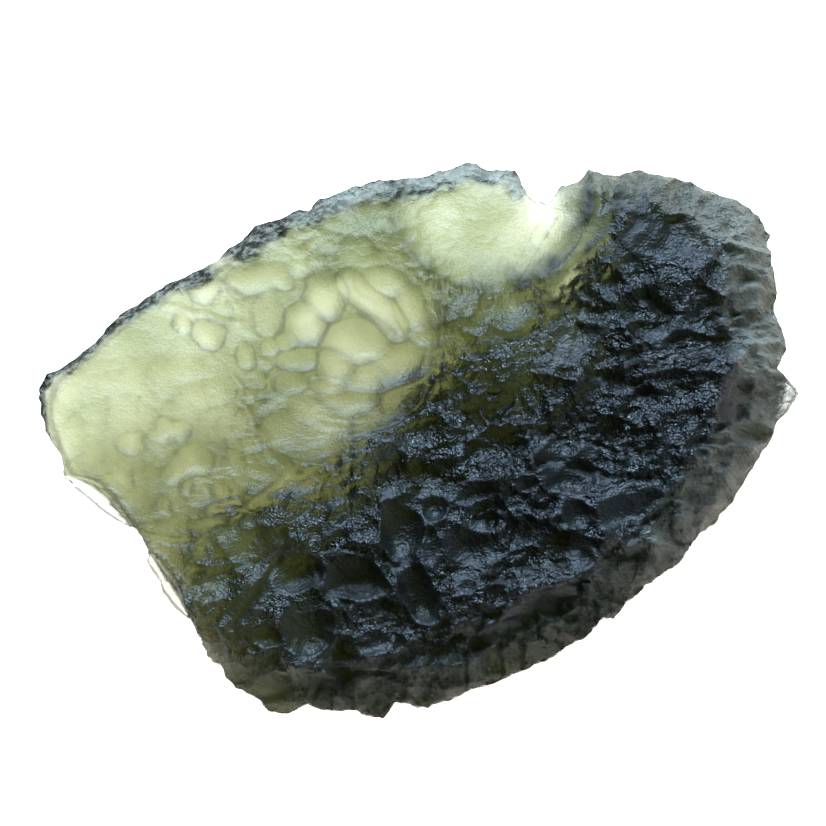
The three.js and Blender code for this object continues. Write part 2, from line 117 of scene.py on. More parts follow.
# the rim by bearing, anticlockwise from +X: bearing, width of the falling band, its fall,
# how rounded it is, height of the edge wall
rimStations = [
    (-173, 0.3, 0.35, 1.2, 1.1), (-160, 0.3, 0.35, 1.2, 1.5), (-150, 0.3, 0.4, 1.2, 1.9),
    (-138, 0.8, 1.0, 1.3, 2.4), (-128, 1.5, 1.6, 1.5, 3.0), (-118, 2.2, 2.2, 1.6, 3.4),
    (-100, 2.2, 2.3, 1.6, 3.6), (-78, 2.4, 2.5, 1.5, 3.6), (-58, 2.6, 2.6, 1.5, 3.6),
    (-40, 2.6, 2.6, 1.6, 3.4), (-20, 2.6, 2.8, 1.7, 3.0), (0, 3.0, 3.1, 1.8, 2.4), (3, 3.0, 3.1, 1.8, 1.9),
    (5, 3.0, 3.2, 1.8, 1.1), (8.5, 3.0, 3.2, 1.8, 1.0), (11, 3.0, 3.1, 1.8, 1.8), (15, 3.0, 3.1, 1.8, 2.1),
    (34, 2.8, 2.9, 1.8, 2.1), (41, 1.9, 2.2, 1.6, 3.2), (54, 0.9, 1.4, 1.2, 2.8), (61, 0.8, 0.4, 1.2, 0.5),
    (69, 0.7, 0.8, 1.1, 0.9), (88, 0.8, 1.0, 1.1, 1.0), (112, 0.8, 1.1, 1.1, 1.0),
    (134, 0.7, 1.1, 1.1, 1.0), (158, 0.6, 0.9, 1.1, 1.0), (174, 0.5, 0.7, 1.2, 1.0),
]

# the broken lines outside which the edge has flaked away to a thin clear ledge
flakeLines = [
    [(-15.9, -1.62), (-15.09, -1.66), (-14.41, -1.84), (-13.86, -2.3), (-13.27, -2.98), (-12.68, -3.8)],
    [(-11.86, -5.02), (-11.14, -5.8), (-10.68, -6.48), (-10.41, -7.02), (-10.2, -7.9)],
]

# the two big hollows: middle, half breadths, depth; the basin opens out on its upper left
basin = {"x": -2.95, "y": 4.34, "a": 4.1, "b": 4.2, "depth": 0.75, "openTowards": 140,
         "openFrom": -0.2, "openTo": 0.9}
scoop = {"x": 3.23, "y": 10.7, "a": 4.45, "b": 4.05, "depth": 1.26, "wall": 2.6}

# single etch pits: x, y, half length, half breadth, turn in degrees, depth
pits = {
    "rosette": [
        (-4.2, 6.25, 1.15, 1.3, 0, 0.95), (-4.95, 5.2, 1.15, 1.3, -15, 0.9),
        (-1.5, 7.0, 1.3, 0.95, 0, 0.75), (-0.15, 5.8, 0.9, 1.45, 25, 0.75),
        (0.72, 6.14, 0.72, 1.3, 0, 0.65), (0.36, 4.57, 0.9, 0.8, 0, 0.6), (-2.68, 4.3, 1.85, 1.2, 0, 0.9),
        (-0.95, 3.4, 1.75, 1.15, 22, 0.9), (-2.2, 2.8, 1.5, 0.85, 8, 0.75), (-3.6, 3.3, 1.2, 1.0, 0, 0.75),
        (-5.75, 4.4, 0.72, 0.66, 0, 0.5), (-5.36, 3.6, 1.05, 0.8, 0, 0.65), (-5.5, 2.5, 0.9, 0.75, 0, 0.55),
        (-3.9, 2.5, 1.1, 0.62, 0, 0.5), (-3.2, 1.7, 2.1, 0.85, 5, 0.65), (-0.85, 1.95, 1.1, 0.62, 15, 0.45),
        (-1.95, 0.75, 1.8, 0.62, 12, 0.42), (-4.86, 0.7, 2.35, 1.8, 0, 0.9),
        (-6.6, 5.4, 0.8, 1.05, 0, 0.45), (-6.5, 4.1, 0.6, 0.6, 0, 0.4), (-2.4, 8.0, 1.2, 0.5, -5, 0.3),
    ],
    "upperLeft": [
        (-7.05, 7.2, 1.64, 1.0, 15, 0.3), (-3.5, 9.66, 1.27, 0.73, 0, 0.28),
        (-9.36, 6.7, 0.75, 0.62, 0, 0.24), (-9.23, 4.66, 0.91, 0.82, 0, 0.28),
        (-10.5, 5.11, 0.55, 0.68, 0, 0.2), (-7.45, 3.61, 0.6, 0.6, 0, 0.3),
        (-6.36, 8.89, 0.55, 0.3, 10, 0.14),
    ],
    "wing": [
        (-11.0, 0.39, 0.95, 0.7, 0, 0.22), (-12.82, -0.2, 1.0, 0.64, 0, 0.2),
        (-10.09, -1.11, 1.82, 0.91, 20, 0.28), (-7.59, -4.52, 1.6, 0.92, 20, 0.45),
        (-9.3, -6.7, 0.8, 1.0, 0, 0.3), (-3.77, -2.7, 0.62, 0.62, 0, 0.3),
        (-2.45, -2.93, 0.6, 0.6, 0, 0.26), (-4.68, -2.25, 0.5, 0.5, 0, 0.22),
        (-9.95, -2.25, 0.38, 0.38, 0, 0.16), (-9.14, -2.25, 0.38, 0.38, 0, 0.16),
        (-11.36, -2.8, 0.45, 0.32, 0, 0.14), (-7.59, -2.7, 0.34, 0.34, 0, 0.14),
        (-8.86, -3.52, 0.55, 0.36, 0, 0.14), (-10.45, -4.07, 0.38, 0.38, 0, 0.14),
        (-1.68, -0.52, 1.25, 0.42, 12, 0.25), (-3.73, -4.07, 0.8, 0.45, 25, 0.24),
        (-5.1, -3.07, 0.45, 0.3, 0, 0.14),
    ],
    "thickSide": [
        (-2.9, -6.15, 2.0, 1.0, -22, 0.6), (-5.5, -6.0, 1.5, 0.95, 8, 0.5),
        (-4.75, -8.45, 1.3, 1.25, 0, 0.5), (-6.8, -8.75, 0.85, 0.65, 0, 0.4),
        (-0.8, -3.9, 0.95, 2.1, 10, 0.62), (0.0, -6.75, 0.95, 1.75, 20, 0.62),
        (0.66, -2.7, 0.72, 1.25, -33, 0.5), (2.27, -2.35, 1.2, 0.65, 15, 0.4),
        (2.2, -4.75, 1.25, 1.3, 0, 0.45), (-6.7, -11.1, 1.5, 0.85, 0, 0.5),
        (-4.2, -11.1, 0.6, 0.8, 0, 0.35), (-1.45, -11.3, 0.75, 0.6, 0, 0.4),
        (6.86, -1.8, 1.6, 0.95, 0, 0.45), (5.95, -0.57, 0.8, 0.6, 0, 0.3), (7.4, -0.66, 0.8, 0.6, 0, 0.3),
        (6.95, -3.4, 0.85, 0.85, 0, 0.36), (7.27, -5.07, 0.65, 1.0, 0, 0.4),
        (5.14, -7.7, 2.9, 0.85, 25, 0.5), (9.45, -2.95, 1.9, 1.0, 20, 0.4),
        (2.3, -6.34, 0.6, 0.55, 0, 0.26), (8.86, -2.1, 0.55, 0.5, 0, 0.22), (4.9, -2.0, 0.55, 0.5, 0, 0.25),
        (-2.4, -10.4, 0.7, 0.6, 0, 0.3), (-1.45, -9.75, 0.6, 0.5, 0, 0.3), (-2.2, -9.0, 1.2, 0.6, 10, 0.35),
    ],
    "upperRight": [
        (10.7, 8.9, 1.6, 1.1, -10, 0.5), (12.2, 8.1, 1.0, 0.5, 0, 0.3), (11.7, 4.8, 1.3, 0.5, 5, 0.34),
        (10.5, 4.25, 0.65, 0.65, 0, 0.3), (13.7, 1.16, 0.7, 0.7, 0, 0.3), (15.1, 6.4, 0.8, 0.6, 0, 0.24),
        (8.1, 10.9, 0.6, 1.0, -10, 0.4), (9.6, 10.7, 0.66, 1.14, -10, 0.4), (4.0, 5.4, 1.1, 1.0, 0, 0.3),
        (6.8, 4.66, 0.7, 0.7, 0, 0.34), (2.27, 6.02, 0.8, 0.45, 0, 0.16), (7.7, 5.66, 0.38, 0.42, 0, 0.18),
        (14.45, 4.6, 0.6, 0.5, 0, 0.2),
    ],
}

# how each group of pits is cut: depth gain, wander of the outline, flatness of the floor, softness
# of the edge, how far neighbours run into each other, how dark the painted shade line round them is
pitStyle = {
    "rosette": {"gain": 0.64, "wander": 0.1, "floor": 1.15, "edge": 1.0, "blend": 0.1, "line": 0.45},
    "upperLeft": {"gain": 1.05, "wander": 0.24, "floor": 1.2, "edge": 1.1, "blend": 0.08, "line": 0.45},
    "wing": {"gain": 1.5, "wander": 0.34, "floor": 1.0, "edge": 1.3, "blend": 0.12, "line": 0.3},
    "thickSide": {"gain": 1.95, "wander": 0.22, "floor": 1.25, "edge": 1.0, "blend": 0.08},
    "upperRight": {"gain": 1.5, "wander": 0.3, "floor": 1.2, "edge": 1.0, "blend": 0.08},
}

# grooves: half breadth, depth, the line they follow
grooves = [
    (0.74, 0.64, [(-3.05, 6.84), (-2.36, 6.39), (-1.54, 5.73), (-0.92, 4.95)]),
    (0.64, 0.4, [(8.2, 9.66), (7.4, 8.9), (6.5, 8.1), (5.8, 7.3)]),
    (0.5, 0.32, [(7.95, 4.9), (7.0, 3.9), (5.5, 3.1)]),
    (0.75, 0.25, [(-6.0, -4.75), (-7.0, -6.8), (-8.27, -8.39)]),
    (0.5, 0.5, [(0.55, -4.3), (0.6, -5.3)]),
]

# thin crevices where folds of the skin meet, darkened with painted shade: half breadth, depth, how dark the
# painted shade is, their line
creases = [
    (0.16, 0.08, 0.6, [(-1.14, 9.8), (-0.77, 9.11), (-0.41, 8.57), (0.05, 7.84), (0.5, 7.39),
                       (1.05, 7.16), (1.95, 6.66), (3.32, 6.75)]),
    (0.34, 0.05, 0.96, [(4.3, 6.8), (5.0, 7.0), (5.64, 7.4), (6.2, 8.1), (6.82, 8.66), (7.09, 9.11),
                       (7.64, 10.25), (7.6, 11.6)]),
    (0.27, 0.12, 0.9, [(8.3, 11.8), (8.91, 10.93), (8.86, 9.93), (8.32, 9.3), (7.6, 8.7), (7.2, 7.9)]),
    (0.25, 0.12, 0.8, [(10.0, 11.7), (10.14, 10.7), (9.77, 9.66), (9.14, 9.0), (8.9, 8.0)]),
    (0.1, 0.12, 0.4, [(1.23, 7.0), (1.2, 5.9), (1.05, 4.5), (0.95, 3.25), (0.4, 2.4), (-0.2, 1.4),
                      (-1.45, 0.6), (-3.05, 0.15)]),
    (0.09, 0.12, 0.45, [(-10.59, 5.93), (-9.9, 5.6), (-9.32, 5.65), (-8.6, 5.25), (-8.05, 5.3)]),
    (0.09, 0.12, 0.45, [(-8.6, 6.9), (-8.25, 6.2), (-8.35, 5.8), (-8.0, 5.3)]),
    (0.1, 0.12, 0.4, [(-8.14, 2.84), (-7.8, 2.3), (-7.91, 1.7), (-7.4, 1.16), (-7.3, 0.5), (-6.8, 0.02),
                      (-6.6, -0.7), (-6.0, -1.1)]),
    (0.14, 0.2, 0.6, [(-5.95, -4.0), (-6.2, -4.9), (-7.1, -5.5), (-8.3, -5.75), (-9.4, -6.2)]),
    (0.18, 0.3, 0.5, [(-6.0, -4.9), (-6.9, -6.7), (-8.27, -8.39)]),
    (0.26, 0.6, 0.9, [(10.14, 6.3), (10.6, 6.0), (11.2, 5.6)]),
    (0.2, 0.4, 0.8, [(5.2, 6.95), (5.75, 6.6), (6.1, 6.2)]),
    (0.24, 0.4, 0.8, [(5.6, -1.05), (7.0, -1.2), (8.3, -1.6)]),
    (0.28, 0.4, 0.8, [(7.8, 2.8), (9.0, 2.5), (10.2, 2.1)]),
    (0.16, 0.3, 0.8, [(-1.5, -5.2), (-0.95, -5.75), (-0.3, -5.3)]),
    (0.14, 0.25, 0.7, [(-4.6, -5.6), (-4.2, -6.6), (-3.5, -7.2), (-2.2, -7.5)]),
    (0.12, 0.2, 0.6, [(3.0, 5.0), (4.0, 4.45), (5.1, 4.6)]),
]

# cracks that wander over the falling rim along the straight lower edge, darkened with painted shade
rimCracks = {"size": 0.85, "width": 0.3, "depth": 0.32, "shade": 0.6, "reach": 2.8}

# bowls that cover the whole skin, drawn out along the grain: steps along and across, depth where
# the glass is thick and where it is thin
etching = {
    "grain": 12,
    "layers": [
        {"along": 1.5, "across": 1.15, "turn": 0, "thick": 0.68, "thin": 0.07, "seed": 0.0},
        {"along": 0.72, "across": 0.55, "turn": 6, "thick": 0.34, "thin": 0.05, "seed": 400.0},
        {"along": 0.36, "across": 0.28, "turn": -8, "thick": 0.13, "thin": 0.025, "seed": 800.0},
    ],
    "warp": 0.35,
    "warpSize": 2.6,
    "fineWarp": 0.12,
    "fineWarpSize": 0.8,
    "crests": 0.28,  # sharp wandering crests between the bowls
    "crestSize": 0.8,
    "crestStretch": 1.4,  # how much longer they run along the grain
    "lumps": 0.1,  # soft lumps of the thin glass
    "smoothPits": 0.85,  # how much of the small etching is missing inside the single pits
}

# steps in the skin: drop on the right-hand side of the line, how far it takes to rise again
ledges = [
    (0.3, 1.3, [(-6.0, -1.7), (-6.68, -2.25), (-7.68, -2.93), (-8.41, -3.7), (-9.18, -4.34),
                (-10.77, -4.39), (-12.1, -4.07)]),
    (0.16, 0.9, [(-8.05, 5.3), (-9.32, 5.57), (-10.6, 5.93)]),
    (0.14, 0.8, [(-8.45, 6.66), (-8.32, 6.2), (-8.09, 5.39)]),
    (0.25, 1.2, [(-6.1, -4.6), (-6.3, -5.1), (-6.95, -5.43), (-8.23, -6.02), (-9.9, -6.3)]),
]

# fine lines: concentric ripples on the basin's far wall, hair lines across the scoop's crest
ripples = {"length": 0.34, "height": 0.028, "from": 0.72, "to": 1.12}
striae = {"length": 0.3, "height": 0.07, "from": 1.0, "to": 1.3}

# bowls on the edge wall
sideLayers = [
    {"along": 1.1, "across": 0.8, "turn": 20, "depth": 0.34, "seed": 1200.0},
    {"along": 0.45, "across": 0.35, "turn": -15, "depth": 0.16, "seed": 1600.0},
]

# crumbs of the crazed edge: etching layer, depth, turn; the level brings them about even on average
edgeCrumbs = {"level": 0.2, "layers": [(1, 0.3, 40), (2, 0.16, 70)]}

# the crazed band along the broken edges: bearing, how much of it, how wide, how bleached
crustStations = [
    (0, 0.36, 2.4, 0.8), (3, 0.35, 1.8, 1), (5, 0.35, 1.4, 1), (9, 0.35, 1.4, 1), (12, 0.36, 2.0, 0.9),
    (20, 0.4, 2.6, 0.85), (36, 0.38, 2.6, 0.8), (41, 0.3, 2.0, 0.4), (50, 0.3, 1.6, 0.15),
    (56, 0.3, 1.0, 0.1), (60, 0, 0.4, 0.3), (65, 0, 0.4, 0.3), (69, 0.85, 0.85, 0.4), (85, 0.9, 0.95, 0.4),
    (104, 0.95, 0.95, 0.4), (110, 1, 0.95, 0.25), (119, 0.9, 0.75, 0.1), (122, 1, 0.9, 0),
    (134.5, 1, 1.0, 0), (136.3, 0.4, 0.6, 0), (138.3, 0.1, 0.5, 0), (140, 0.4, 0.55, 0), (142, 1, 0.8, 0),
    (150, 1, 0.64, 0), (165, 0.95, 0.46, 0), (172, 1, 0.55, 0), (176, 0.9, 0.45, 0), (180, 0.3, 0.3, 0),
    (186, 0, 0.3, 0), (225, 0, 0.5, 0), (234, 0.4, 1.0, 0), (250, 0.5, 1.8, 0), (255, 0.45, 1.8, 0.1),
    (258, 0.4, 1.4, 0.8), (261, 0.5, 1.8, 0), (266, 0.45, 1.8, 0.1), (269, 0.4, 1.4, 0.7),
    (272, 0.5, 2.0, 0), (284, 0.45, 2.0, 0.3), (288, 0.5, 2.0, 0), (320, 0.45, 2.0, 0.1),
    (340, 0.38, 2.2, 0.6), (360, 0.36, 2.4, 0.8),
]

# the hidden underside: a spiral of shallow bowls of mixed sizes, with finer ones between them
underside = {"pits": 90, "depth": 0.36, "spread": 1.8, "turn": 137.508, "squash": 0.75,
             "leastSize": 1.1, "sizeRange": 0.9, "stretch": 1.3, "fine": 0.16}


def scatter(n):  # a repeatable number from 0 to 1 for every n
    s = np.sin(n * 12.9898 + 4.1414) * 43758.5453
    return s - np.floor(s)


def smooth(value, low, high):
    t = np.clip((value - low) / (high - low), 0, 1)
    return t * t * (3 - 2 * t)


def softNoise(x, y, size, seed):  # value noise from -1 to 1 with lumps of the given size
    u = x / size
    v = y / size
    i = np.floor(u)
    j = np.floor(v)
    fu = smooth(u - i, 0, 1)
    fv = smooth(v - j, 0, 1)

    def corner(di, dj):
        return scatter((i + di) * 57 + (j + dj) * 131 + seed)

    low = corner(0, 0) * (1 - fu) + corner(1, 0) * fu
    high = corner(0, 1) * (1 - fu) + corner(1, 1) * fu
    return 2 * (low * (1 - fv) + high * fv) - 1


def stretches(x, y, line):  # for each stretch of a line: share of the way along, side, distance
    for (ax, ay), (bx, by) in zip(line, line[1:]):
        ux, uy = bx - ax, by - ay
        share = ((x - ax) * ux + (y - ay) * uy) / (ux * ux + uy * uy)
        t = np.clip(share, 0, 1)
        side = ux * (y - ay) - uy * (x - ax)
        yield share, side, np.hypot(x - ax - t * ux, y - ay - t * uy)


def distanceToLine(x, y, line):
    least = np.full(np.shape(x), np.inf)
    for _, _, apart in stretches(x, y, line):
        least = np.minimum(least, apart)
    return least


def bowl(x, y, cx, cy, a, b, degrees):  # 1 in the middle of an ellipse, 0 at its edge
    c = math.cos(math.radians(degrees))
    s = math.sin(math.radians(degrees))
    along = ((x - cx) * c + (y - cy) * s) / a
    across = ((y - cy) * c - (x - cx) * s) / b
    return 1 - along * along - across * across


def bowlLattice(x, y, layer, degrees):  # one bowl in each cell of a lattice, deepest one wins
    c = math.cos(math.radians(degrees))
    s = math.sin(math.radians(degrees))
    along = (x * c + y * s) / layer["along"]
    across = (y * c - x * s) / layer["across"]
    deepest = np.full(np.shape(x), -1.0)
    for di in (-1, 0, 1):
        for dj in (-1, 0, 1):
            i = np.floor(along) + di
            j = np.floor(across) + dj
            n = i * 57 + j * 131 + layer["seed"]
            # the bowl's middle and size vary from cell to cell
            dx = along - i - 0.15 - 0.7 * scatter(n)
            dy = across - j - 0.15 - 0.7 * scatter(n + 0.37)
            size = 0.5 + 0.75 * scatter(n + 0.71)
            deepest = np.maximum(deepest, size * (1 - (dx * dx + dy * dy) / (size * size)))
    return deepest


ring = np.array(outline + outline[:1])
reach = np.concatenate([[0], np.cumsum(np.hypot(*np.diff(ring, axis=0).T))])


def outlinePoint(share):  # points set evenly by length round the outline, slightly crumbled
    along = (share % 1) * reach[-1]
    x = np.interp(along, reach, ring[:, 0])
    y = np.interp(along, reach, ring[:, 1])
    wander = softNoise(x, y, 0.5, 11.0) + 0.6 * softNoise(x, y, 0.24, 23.0)
    out = 1 + stone["edgeCrumble"] * wander / np.hypot(x, y)
    return x * out, y * out


softBearings = np.radians(np.arange(-180, 181, 3))
ringBearing = np.arctan2(ring[:-1, 1], ring[:-1, 0])
ringOrder = np.argsort(ringBearing)
softReach = np.interp(softBearings, ringBearing[ringOrder],
                      np.hypot(ring[:-1, 0], ring[:-1, 1])[ringOrder], period=2 * math.pi)
for _ in range(2):  # evens out the teeth
    softReach = (np.roll(softReach[:-1], 1) + 2 * softReach[:-1] + np.roll(softReach[:-1], -1)) / 4
    softReach = np.append(softReach, softReach[0])
softSlant = 1 / np.sqrt(1 + (np.gradient(softReach, softBearings) / softReach) ** 2)


def insideEdge(x, y):  # how far inside the evened outline a place is
    bearing = np.arctan2(y, x)
    reachHere = np.interp(bearing, softBearings, softReach)
    return (reachHere - np.hypot(x, y)) * np.interp(bearing, softBearings, softSlant)


def byBearing(x, y, rows, columns):  # columns of a table by bearing, read at a place
    bearing = np.degrees(np.arctan2(y, x))
    stations = np.array(rows)
    return [np.interp(bearing, stations[:, 0], stations[:, k], period=360) for k in columns]


def thicknessAt(x, y):  # each place counts by its nearness
    total = 0
    weights = 0
    for px, py, thickness in thicknessPlaces:
        weight = 1 / ((x - px) ** 2 + (y - py) ** 2 + stone["placeBlend"]) ** 2
        total = total + weight * thickness
        weights = weights + weight
    return total / weights


def hollows(x, y):
    inBasin = np.clip(bowl(x, y, basin["x"], basin["y"], basin["a"], basin["b"], 0), 0, 1)
    c = math.cos(math.radians(basin["openTowards"]))
    s = math.sin(math.radians(basin["openTowards"]))
    outward = ((x - basin["x"]) * c + (y - basin["y"]) * s) / basin["a"]
    opening = smooth(outward, basin["openFrom"], basin["openTo"])
    dish = basin["depth"] * (1 - (1 - inBasin) ** 2) * (1 - opening)
    inScoop = bowl(x, y, scoop["x"], scoop["y"], scoop["a"], scoop["b"], 0)
    scooped = 1 - np.clip(1 - inScoop, 0, 1) ** scoop["wall"]
    return dish + scoop["depth"] * scooped


# a pit is deeper on its side away from the long edge; a groove has a flat floor
pitShape = {"lean": 0.45, "leanSideways": 0.4, "grooveFloor": 2.4, "grooveBlend": 0.05}


def deeperOf(first, second, blend):  # the deeper of two, the crest between them rounded off
    low = np.minimum(first, second)
    rounded = np.maximum(blend - np.abs(first - second), 0) ** 2 / (4 * blend)
    return np.maximum(first, second) + rounded * smooth(low, 0, blend)


def wandered(x, y, amount):  # the plan shifted a little, so that round shapes come out uneven
    wx = x + amount * (softNoise(x, y, 1.1, 211.0) + 0.4 * softNoise(x, y, 0.45, 223.0))
    return wx, y + amount * (softNoise(x, y, 1.1, 217.0) + 0.4 * softNoise(x, y, 0.45, 227.0))


def namedPits(x, y):
    deepest = np.zeros(np.shape(x))
    for name, group in pits.items():
        style = pitStyle[name]
        wx, wy = wandered(x, y, style["wander"])
        for cx, cy, a, b, degrees, depth in group:
            hollow = np.clip(bowl(wx, wy, cx, cy, a, b, degrees), 0, 1)
            steep = (1 - (1 - hollow) ** style["floor"]) ** style["edge"]
            away = (pitShape["leanSideways"] * (wx - cx) - (wy - cy)) / b
            lean = 1 + pitShape["lean"] * np.clip(away, -1, 1)
            deepest = deeperOf(deepest, style["gain"] * depth * steep * lean, style["blend"])
    for half, depth, line in grooves:
        across = distanceToLine(x, y, line) / half
        trough = depth * np.maximum(1 - across ** pitShape["grooveFloor"], 0)
        deepest = deeperOf(deepest, trough, pitShape["grooveBlend"])
    return deepest


def pitEdgesAt(x, y):  # painted shade, thin, round the pits of the thin glass and where two of them meet
    shade = np.zeros(np.shape(x))
    for name in ("rosette", "upperLeft", "wing"):
        wx, wy = wandered(x, y, pitStyle[name]["wander"])
        first = np.full(np.shape(x), -1.0)
        second = first.copy()
        for cx, cy, a, b, degrees, _ in pits[name]:
            hollow = bowl(wx, wy, cx, cy, a, b, degrees)
            second = np.maximum(second, np.minimum(first, hollow))
            first = np.maximum(first, hollow)
        meet = np.exp(-(((first - second) / 0.2) ** 2)) * smooth(second, 0, 0.15)
        rim = np.exp(-((first / 0.14) ** 2))
        shade = np.maximum(shade, pitStyle[name]["line"] * np.maximum(meet, rim))
    return shade * np.clip(0.7 + 0.6 * softNoise(x, y, 0.8, 277.0), 0, 1)


def creasesAt(x, y):  # how deep the thin crevices are, and how dark their painted shade is, also along the rim cracks
    wx = x + 0.07 * softNoise(x, y, 0.4, 241.0)
    wy = y + 0.07 * softNoise(x, y, 0.4, 251.0)
    deep = np.zeros(np.shape(x))
    dark = np.zeros(np.shape(x))
    for half, depth, shade, line in creases:
        near = np.exp(-((distanceToLine(wx, wy, line) / half) ** 2))
        deep = np.maximum(deep, depth * near)
        dark = np.maximum(dark, shade * near)
    dark = dark * np.clip(0.75 + 0.5 * softNoise(x, y, 0.6, 263.0), 0, 1)
    veins = np.abs(softNoise(wx, wy, rimCracks["size"], 281.0))
    crackle = np.maximum(1 - veins / rimCracks["width"], 0)
    bearing = np.degrees(np.arctan2(y, x)) % 360
    inZone = smooth(bearing, 230, 240) * (1 - smooth(bearing, 335, 355))
    fade = smooth(insideEdge(x, y), rimCracks["reach"] * 0.7, rimCracks["reach"])
    crackle = crackle * inZone * (1 - fade)
    return np.maximum(deep, rimCracks["depth"] * crackle), np.maximum(dark, rimCracks["shade"] * crackle)


def underPits(x, y):
    deepest = np.zeros(np.shape(x))
    for k in range(1, underside["pits"] + 1):
        out = underside["spread"] * math.sqrt(k)
        turn = math.radians(k * underside["turn"])
        size = underside["leastSize"] + underside["sizeRange"] * float(scatter(k))
        cx = out * math.cos(turn)
        cy = underside["squash"] * out * math.sin(turn)
        long = size * underside["stretch"]
        pit = underside["depth"] * size * bowl(x, y, cx, cy, long, size, etching["grain"])
        deepest = np.maximum(deepest, pit)
    return deepest


def onFlake(x, y):
    flaked = np.zeros(np.shape(x), bool)
    for line in flakeLines:
        near = distanceToLine(x, y, line) < stone["flakeReach"]
        for share, side, _ in stretches(x, y, line):
            flaked |= near & (side < 0) & (share >= 0) & (share <= 1)
    return flaked


def ledgeDepth(x, y):
    depth = np.zeros(np.shape(x))
    for drop, rise, line in ledges:
        nearest = np.full(np.shape(x), np.inf)
        below = np.zeros(np.shape(x), bool)
        for _, side, apart in stretches(x, y, line):
            below = np.where(apart < nearest, side > 0, below)
            nearest = np.minimum(nearest, apart)
        step = np.where(below, np.maximum(0, 1 - nearest / rise), 0)
        depth = depth + drop * step * step * smooth(nearest, 0, 0.2)
    return depth


def roundHollow(x, y, hollow):  # how far out from a hollow's middle, 1 at its rim, and the bearing
    inside = bowl(x, y, hollow["x"], hollow["y"], hollow["a"], hollow["b"], 0)
    rho = np.sqrt(np.maximum(0, 1 - inside))
    return rho, np.degrees(np.arctan2(y - hollow["y"], x - hollow["x"]))


def fineLines(x, y):
    rho, bearing = roundHollow(x, y, basin)
    band = smooth(rho, ripples["from"], 0.85) * (1 - smooth(rho, 1.0, ripples["to"]))
    side = smooth(bearing, -130, -100) * (1 - smooth(bearing, -15, 10))
    wobble = 0.12 * softNoise(x, y, 0.9, 31.0)
    wave = np.sin(2 * math.pi * (rho * basin["a"] + wobble) / ripples["length"])
    lines = ripples["height"] * wave * band * side
    rho, bearing = roundHollow(x, y, scoop)
    band = smooth(rho, striae["from"], 1.03) * (1 - smooth(rho, 1.1, striae["to"]))
    side = smooth(bearing, -140, -120) * (1 - smooth(bearing, -55, -40))
    around = np.radians(bearing) * scoop["a"] + 0.15 * softNoise(x, y, 0.5, 37.0)
    patchy = 0.5 + 0.5 * softNoise(x, y, 0.8, 41.0)
    cut = np.maximum(0, np.sin(2 * math.pi * around / striae["length"]))
    return lines + striae["height"] * cut * band * side * patchy


def hairAt(x, y):  # where fine hair lines cross the scoop's crest
    rho, bearing = roundHollow(x, y, scoop)
    band = smooth(rho, 0.97, 1.03) * (1 - smooth(rho, 1.12, 1.35))
    return band * smooth(bearing, -145, -125) * (1 - smooth(bearing, -60, -45))


def ruggedAt(x, y):  # how rough the fine etching is: least on the thin wing and in the single pits
    thick = smooth(thicknessAt(x, y) - hollows(x, y), 2.2, 5.2)
    inside = smooth(namedPits(x, y), 0.0, 0.12)
    fresh = np.where(onFlake(x, y), 0.0, 1.0)
    return fresh * (0.3 + 0.7 * thick) * (1 - (0.1 + 0.4 * thick) * inside)


def etchDepth(x, y, full):  # how deep the upper skin is etched, where the glass is full thick
    wx = x + etching["warp"] * softNoise(x, y, etching["warpSize"], 71.0)
    wy = y + etching["warp"] * softNoise(x, y, etching["warpSize"], 93.0)
    wx = wx + etching["fineWarp"] * softNoise(x, y, etching["fineWarpSize"], 55.0)
    wy = wy + etching["fineWarp"] * softNoise(x, y, etching["fineWarpSize"], 66.0)
    named = namedPits(x, y)
    inside = smooth(named, 0.0, 0.12)
    thick = smooth(full, 1.8, 4.2)
    patchy = 1 + 0.5 * softNoise(x, y, 2.3, 12.0)
    depths = []
    for layer in etching["layers"]:
        most = layer["thin"] + (layer["thick"] - layer["thin"]) * thick
        depths.append(most * patchy * bowlLattice(wx, wy, layer, etching["grain"] + layer["turn"]))
    size = etching["crestSize"]
    crests = np.abs(softNoise(wx, wy * etching["crestStretch"], size, 131.0))
    crests = crests + 0.5 * np.abs(softNoise(wx, wy * etching["crestStretch"], size / 2, 151.0))
    crests = etching["crests"] * (0.1 + 0.9 * thick) * crests
    busy = 1 + 0.6 * softNoise(x, y, 1.7, 171.0)
    small = (depths[1] + depths[2] + crests) * busy
    level = 0.45 * sum(l["thin"] + (l["thick"] - l["thin"]) * thick for l in etching["layers"][1:])
    level = level + 0.5 * etching["crests"] * (0.1 + 0.9 * thick)
    small = small + (level - small) * etching["smoothPits"] * inside
    lumps = softNoise(x, y, 1.3, 301.0) + 0.5 * softNoise(x, y, 0.6, 307.0)
    small = small + etching["lumps"] * (1 - thick) * (lumps + 1)
    return np.maximum(named, depths[0]) + small + ledgeDepth(x, y) + fineLines(x, y) + creasesAt(x, y)[0]


def macroAt(x, y):  # top and underside before any etching
    toEdge = insideEdge(x, y)
    width, fall, roundness, wall = byBearing(x, y, rimStations, (1, 2, 3, 4))
    side = np.where(x < stone["crownX"], stone["crownFallLeft"], stone["crownFallRight"])
    crown = stone["crownHeight"] - side * (x - stone["crownX"]) ** 2
    crown = crown - stone["crownFallAcross"] * y * y
    nearEdge = 1 - np.clip(toEdge / width, 0, 1)
    hollow = hollows(x, y)
    top = crown - hollow - fall * nearEdge**roundness
    full = np.maximum(thicknessAt(x, y) - hollow, stone["leastFull"])
    taperTo = stone["taperWidth"] + stone["taperGrowth"] * full
    taper = (1 - np.clip(toEdge / taperTo, 0, 1)) ** 2
    flaked = onFlake(x, y)
    thickness = np.where(flaked, wall, full + (wall - full) * taper)
    under = top - thickness
    flake = stone["flakeEdge"] + (stone["flakeThickness"] - stone["flakeEdge"]) * smooth(toEdge, 0.1, 1.0)
    top = np.where(flaked, np.maximum(under, 0) + flake, top)
    return top, under, full


